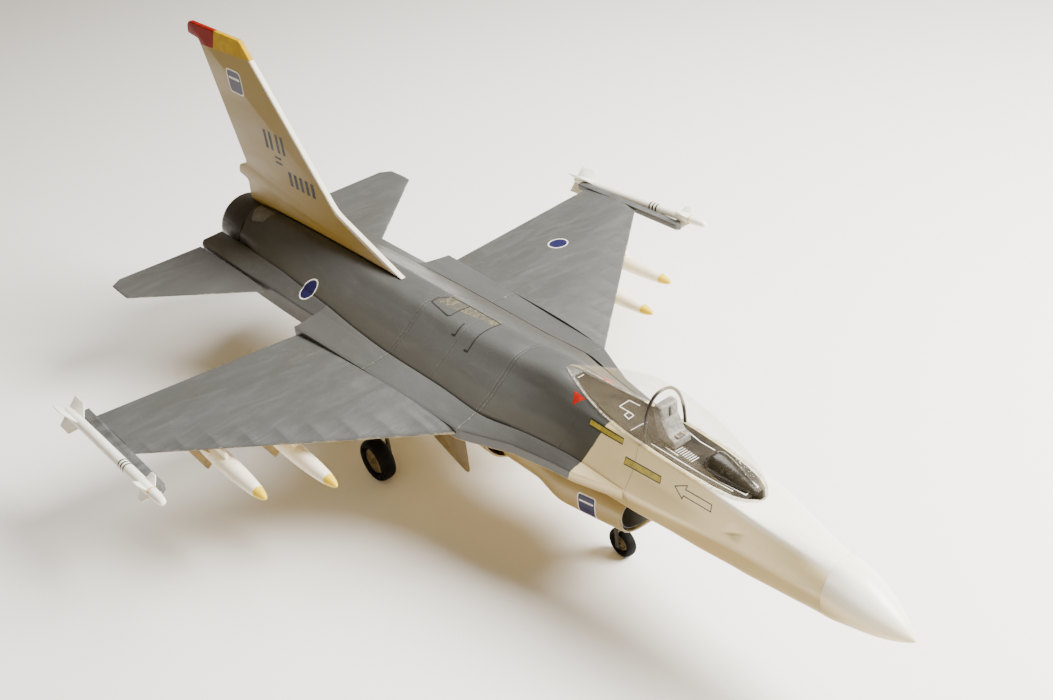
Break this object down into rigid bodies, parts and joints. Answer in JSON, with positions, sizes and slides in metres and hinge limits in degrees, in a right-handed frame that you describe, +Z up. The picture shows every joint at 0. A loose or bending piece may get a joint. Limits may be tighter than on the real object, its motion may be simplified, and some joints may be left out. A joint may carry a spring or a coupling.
{
  "type": "rc jet plane",
  "caption": "Radio-controlled model fighter jet with chin intake, lift-off bubble canopy, ducted fan, all-moving tailplanes, wing stores and fixed tricycle wheels.",
  "frame": {"origin": "centre of the bounding box in plan, on the ground under the wheels", "axes": "-Y is the nose, +Y runs aft along the fuselage, +X is the pilot's left, +Z is up"},
  "size_m": [0.979, 1.4523, 0.535],
  "materials": {
    "cream_paint": "satin cream paint over the moulded shell, dirtied and yellowed",
    "grey_paint": "satin mid grey covering and paint, wrinkled and scuffed",
    "black_paint": "sooty satin black paint",
    "white_paint": "off-white gloss paint with a cream cast",
    "tan_paint": "thin tan painted sheet",
    "deck_print": "dark grey-brown printed sheet with fine pale lines",
    "seat_grey": "mottled grey",
    "clear_canopy": "clear vacuum-formed sheet, faintly warm",
    "tyre_rubber": "black rubber, dusty on the tread",
    "hub_plastic": "tan moulded plastic",
    "spring_steel": "dark oiled steel wire",
    "balsa": "bare balsa",
    "plywood": "bare light plywood",
    "duct_plastic": "black moulded plastic",
    "motor_alloy": "turned alloy",
    "servo_plastic": "dark blue-black case",
    "white_nylon": "white nylon",
    "battery_wrap": "blue heat-shrink wrap",
    "circuit_case": "black case"
  },
  "bodies": {
    "airframe": {"battery_pack": "battery_wrap", "centre_fuselage": "grey_paint", "exhaust_nozzle": "black_paint", "fan_housing": "duct_plastic", "fan_motor": "motor_alloy", "forward_fuselage": "cream_paint", "inlet_duct": "duct_plastic", "inner_left_store": "white_paint", "inner_right_store": "white_paint", "intake_fairing": "cream_paint", "left_gear_door": "tan_paint", "left_main_leg": "spring_steel", "left_missile": "white_paint", "left_strake": "grey_paint", "left_tail_boom": "grey_paint", "left_tail_servo": "servo_plastic", "left_tip_rail": "grey_paint", "left_wing": "grey_paint", "left_wing_frame": "balsa", "nose_cone": "cream_paint", "nose_gear_door": "tan_paint", "outer_left_store": "white_paint", "outer_right_store": "white_paint", "rear_fuselage": "grey_paint", "receiver": "circuit_case", "right_gear_door": "tan_paint", "right_main_leg": "spring_steel", "right_missile": "white_paint", "right_strake": "grey_paint", "right_tail_boom": "grey_paint", "right_tail_servo": "servo_plastic", "right_tip_rail": "grey_paint", "right_wing": "grey_paint", "right_wing_frame": "balsa", "speed_controller": "circuit_case", "steering_servo": "servo_plastic", "tail_fin": "white_paint", "thrust_tube": "duct_plastic", "wing_bulkhead": "plywood"},
    "canopy_hatch": {"canopy_glass": "clear_canopy", "canopy_hoop": "black_paint", "cockpit_deck": "deck_print", "ejection_seat": "seat_grey", "instrument_coaming": "deck_print"},
    "left_stabiliser": {"left_tailplane": "grey_paint", "left_pivot_rod": "spring_steel"},
    "right_stabiliser": {"right_tailplane": "grey_paint", "right_pivot_rod": "spring_steel"},
    "left_output_arm": {"left_servo_arm": "white_nylon"},
    "right_output_arm": {"right_servo_arm": "white_nylon"},
    "left_link": {"left_pushrod": "spring_steel"},
    "right_link": {"right_pushrod": "spring_steel"},
    "nose_fork": {"nose_strut": "spring_steel"},
    "nose_wheel": {"nose_hub": "hub_plastic", "nose_tyre": "tyre_rubber"},
    "left_wheel": {"left_main_hub": "hub_plastic", "left_main_tyre": "tyre_rubber"},
    "right_wheel": {"right_main_hub": "hub_plastic", "right_main_tyre": "tyre_rubber"},
    "rotor": {"fan_rotor": "duct_plastic"}
  },
  "joints": [
    {"name": "canopy_lift", "type": "slide", "parent": "airframe", "child": "canopy_hatch", "axis": [0, 0, 1], "range_m": [0, 0.08]},
    {"name": "left_stabiliser_pivot", "type": "hinge", "parent": "airframe", "child": "left_stabiliser", "pos_m": [0.11, 0.538, 0.186], "axis": [1, 0, 0], "range_deg": [-15, 15]},
    {"name": "left_output_turn", "type": "hinge", "parent": "airframe", "child": "left_output_arm", "pos_m": [0.059, 0.41, 0.186], "axis": [1, 0, 0], "range_deg": [-15, 15]},
    {"name": "left_link_travel", "type": "slide", "parent": "airframe", "child": "left_link", "axis": [0, 1, 0], "range_m": [-0.004, 0.004]},
    {"name": "left_wheel_roll", "type": "hinge", "parent": "airframe", "child": "left_wheel", "pos_m": [0.135, 0.1065, 0.033], "axis": [1, 0, 0], "continuous": true},
    {"name": "right_stabiliser_pivot", "type": "hinge", "parent": "airframe", "child": "right_stabiliser", "pos_m": [-0.11, 0.538, 0.186], "axis": [1, 0, 0], "range_deg": [-15, 15]},
    {"name": "right_output_turn", "type": "hinge", "parent": "airframe", "child": "right_output_arm", "pos_m": [-0.059, 0.41, 0.186], "axis": [1, 0, 0], "range_deg": [-15, 15]},
    {"name": "right_link_travel", "type": "slide", "parent": "airframe", "child": "right_link", "axis": [0, 1, 0], "range_m": [-0.004, 0.004]},
    {"name": "right_wheel_roll", "type": "hinge", "parent": "airframe", "child": "right_wheel", "pos_m": [-0.135, 0.1065, 0.033], "axis": [1, 0, 0], "continuous": true},
    {"name": "nose_steer", "type": "hinge", "parent": "airframe", "child": "nose_fork", "pos_m": [0, -0.274, 0.0215], "axis": [0, 0, 1], "range_deg": [-30, 30]},
    {"name": "nose_wheel_roll", "type": "hinge", "parent": "nose_fork", "child": "nose_wheel", "pos_m": [0, -0.274, 0.0215], "axis": [1, 0, 0], "continuous": true},
    {"name": "fan_spin", "type": "hinge", "parent": "airframe", "child": "rotor", "pos_m": [0, 0.15, 0.18], "axis": [0, 1, 0], "continuous": true}
  ],
  "couplings": [
    {"joint": "left_output_turn", "follows": "left_stabiliser_pivot", "ratio": 1},
    {"joint": "left_link_travel", "follows": "left_stabiliser_pivot", "m_per_rad": 0.014},
    {"joint": "right_output_turn", "follows": "right_stabiliser_pivot", "ratio": 1},
    {"joint": "right_link_travel", "follows": "right_stabiliser_pivot", "m_per_rad": 0.014}
  ]
}
